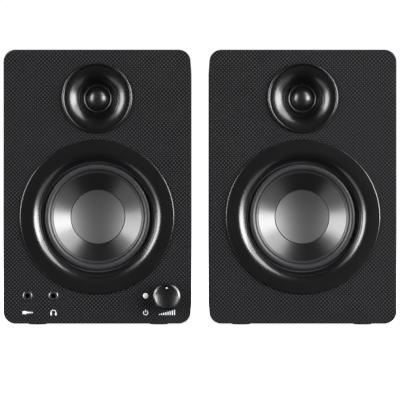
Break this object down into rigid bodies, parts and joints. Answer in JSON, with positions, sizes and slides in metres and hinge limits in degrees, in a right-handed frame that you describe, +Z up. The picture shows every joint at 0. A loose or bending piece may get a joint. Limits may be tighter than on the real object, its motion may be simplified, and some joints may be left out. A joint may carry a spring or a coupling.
{
  "type": "desktop speaker pair",
  "caption": "Powered stereo desktop speakers: woofer and flared dome tweeter in each cabinet, rear reflex ports and sprung wire clips, front jacks, power light and volume knob.",
  "frame": {"origin": "on the desk, at the middle of the pair's overall box", "axes": "+X to the right as seen from the front, fronts face -Y, +Z up"},
  "size_m": [0.294, 0.204, 0.2065],
  "materials": {
    "cabinet_vinyl": "satin black vinyl over fibreboard",
    "baffle_vinyl": "dark grey woven-effect vinyl over fibreboard",
    "back_paint": "black painted fibreboard",
    "foot_rubber": "matt",
    "trim_plastic": "satin black",
    "basket_paint": "black stoved paint",
    "surround_rubber": "satin",
    "cone_poly": "satin dark grey",
    "cap_poly": "satin dark grey",
    "coil_copper": "varnished copper wire",
    "spider_cloth": "resin-stiffened cloth",
    "motor_steel": "zinc plated",
    "ferrite": "ground ceramic magnet",
    "waveguide_plastic": "satin black",
    "dome_silk": "coated silk",
    "port_plastic": "satin black",
    "clip_plastic": "satin black",
    "lever_red": "gloss",
    "lever_black": "gloss",
    "screw_black": "black oxide",
    "board_green": "green solder mask",
    "knob_plastic": "satin black",
    "shaft_alloy": "turned",
    "pot_metal": "plated",
    "led_lens": "white lens",
    "jack_metal": "dark nickel",
    "plate_paint": "black powder coat",
    "heatsink_alloy": "extruded",
    "core_steel": "varnished laminations",
    "phono_metal": "nickel",
    "inlet_plastic": "gloss",
    "switch_plastic": "gloss",
    "rocker_plastic": "gloss"
  },
  "bodies": {
    "active_cabinet": {"active_cabinet_sleeve": "cabinet_vinyl", "active_front_baffle": "baffle_vinyl", "active_back_panel": "back_paint", "active_feet": "foot_rubber", "active_woofer_trim_ring": "trim_plastic", "active_woofer_basket": "basket_paint", "active_woofer_surround": "surround_rubber", "active_woofer_spider": "spider_cloth", "active_woofer_top_plate": "motor_steel", "active_woofer_magnet": "ferrite", "active_woofer_yoke": "motor_steel", "active_tweeter_waveguide": "waveguide_plastic", "active_tweeter_motor": "motor_steel", "active_reflex_port": "port_plastic", "active_clip_block": "clip_plastic", "active_screws": "screw_black", "control_board": "board_green", "volume_pot": "pot_metal", "power_led": "led_lens", "aux_jack": "jack_metal", "headphone_jack": "jack_metal", "amp_plate": "plate_paint", "amp_board": "board_green", "heatsink": "heatsink_alloy", "transformer": "core_steel", "phono_sockets": "phono_metal", "mains_inlet": "inlet_plastic", "power_switch_frame": "switch_plastic"},
    "passive_cabinet": {"passive_cabinet_sleeve": "cabinet_vinyl", "passive_front_baffle": "baffle_vinyl", "passive_back_panel": "back_paint", "passive_feet": "foot_rubber", "passive_woofer_trim_ring": "trim_plastic", "passive_woofer_basket": "basket_paint", "passive_woofer_surround": "surround_rubber", "passive_woofer_spider": "spider_cloth", "passive_woofer_top_plate": "motor_steel", "passive_woofer_magnet": "ferrite", "passive_woofer_yoke": "motor_steel", "passive_tweeter_waveguide": "waveguide_plastic", "passive_tweeter_motor": "motor_steel", "passive_reflex_port": "port_plastic", "passive_clip_block": "clip_plastic", "passive_screws": "screw_black", "passive_crossover": "board_green"},
    "volume_control": {"volume_knob": "knob_plastic", "volume_shaft": "shaft_alloy"},
    "power_rocker": {"power_switch_rocker": "rocker_plastic"},
    "active_woofer_cone_body": {"active_woofer_cone": "cone_poly", "active_woofer_dust_cap": "cap_poly", "active_woofer_voice_coil": "coil_copper"},
    "active_tweeter_dome_body": {"active_tweeter_dome": "dome_silk"},
    "active_red_lever": {"active_clip_lever_red": "lever_red"},
    "active_black_lever": {"active_clip_lever_black": "lever_black"},
    "passive_woofer_cone_body": {"passive_woofer_cone": "cone_poly", "passive_woofer_dust_cap": "cap_poly", "passive_woofer_voice_coil": "coil_copper"},
    "passive_tweeter_dome_body": {"passive_tweeter_dome": "dome_silk"},
    "passive_red_lever": {"passive_clip_lever_red": "lever_red"},
    "passive_black_lever": {"passive_clip_lever_black": "lever_black"}
  },
  "joints": [
    {"name": "passive_cabinet_place", "type": "slide", "parent": "active_cabinet", "child": "passive_cabinet", "axis": [1, 0, 0], "range_m": [0, 0.6]},
    {"name": "volume_turn", "type": "hinge", "parent": "active_cabinet", "child": "volume_control", "pos_m": [-0.0247, -0.088, 0.0223], "axis": [0, 1, 0], "range_deg": [-150, 150]},
    {"name": "power_rocker_tip", "type": "hinge", "parent": "active_cabinet", "child": "power_rocker", "pos_m": [-0.047, 0.091, 0.0495], "axis": [1, 0, 0], "range_deg": [0, 18]},
    {"name": "active_woofer_stroke", "type": "slide", "parent": "active_cabinet", "child": "active_woofer_cone_body", "axis": [0, -1, 0], "range_m": [-0.003, 0.003], "stiffness_N_per_m": 1500, "deforming": ["active_woofer_surround", "active_woofer_spider"]},
    {"name": "active_tweeter_stroke", "type": "slide", "parent": "active_cabinet", "child": "active_tweeter_dome_body", "axis": [0, -1, 0], "range_m": [-0.0003, 0.0003], "stiffness_N_per_m": 2000},
    {"name": "active_red_lever_press", "type": "hinge", "parent": "active_cabinet", "child": "active_red_lever", "pos_m": [-0.107, 0.0927, 0.1027], "axis": [1, 0, 0], "range_deg": [0, 14], "stiffness_Nm_per_rad": 0.15, "springref_deg": -8.59},
    {"name": "active_black_lever_press", "type": "hinge", "parent": "active_cabinet", "child": "active_black_lever", "pos_m": [-0.091, 0.0927, 0.1027], "axis": [1, 0, 0], "range_deg": [0, 14], "stiffness_Nm_per_rad": 0.15, "springref_deg": -8.59},
    {"name": "passive_woofer_stroke", "type": "slide", "parent": "passive_cabinet", "child": "passive_woofer_cone_body", "axis": [0, -1, 0], "range_m": [-0.003, 0.003], "stiffness_N_per_m": 1500, "deforming": ["passive_woofer_surround", "passive_woofer_spider"]},
    {"name": "passive_tweeter_stroke", "type": "slide", "parent": "passive_cabinet", "child": "passive_tweeter_dome_body", "axis": [0, -1, 0], "range_m": [-0.0003, 0.0003], "stiffness_N_per_m": 2000},
    {"name": "passive_red_lever_press", "type": "hinge", "parent": "passive_cabinet", "child": "passive_red_lever", "pos_m": [0.069, 0.0912, 0.0607], "axis": [1, 0, 0], "range_deg": [0, 14], "stiffness_Nm_per_rad": 0.15, "springref_deg": -8.59},
    {"name": "passive_black_lever_press", "type": "hinge", "parent": "passive_cabinet", "child": "passive_black_lever", "pos_m": [0.085, 0.0912, 0.0607], "axis": [1, 0, 0], "range_deg": [0, 14], "stiffness_Nm_per_rad": 0.15, "springref_deg": -8.59}
  ]
}
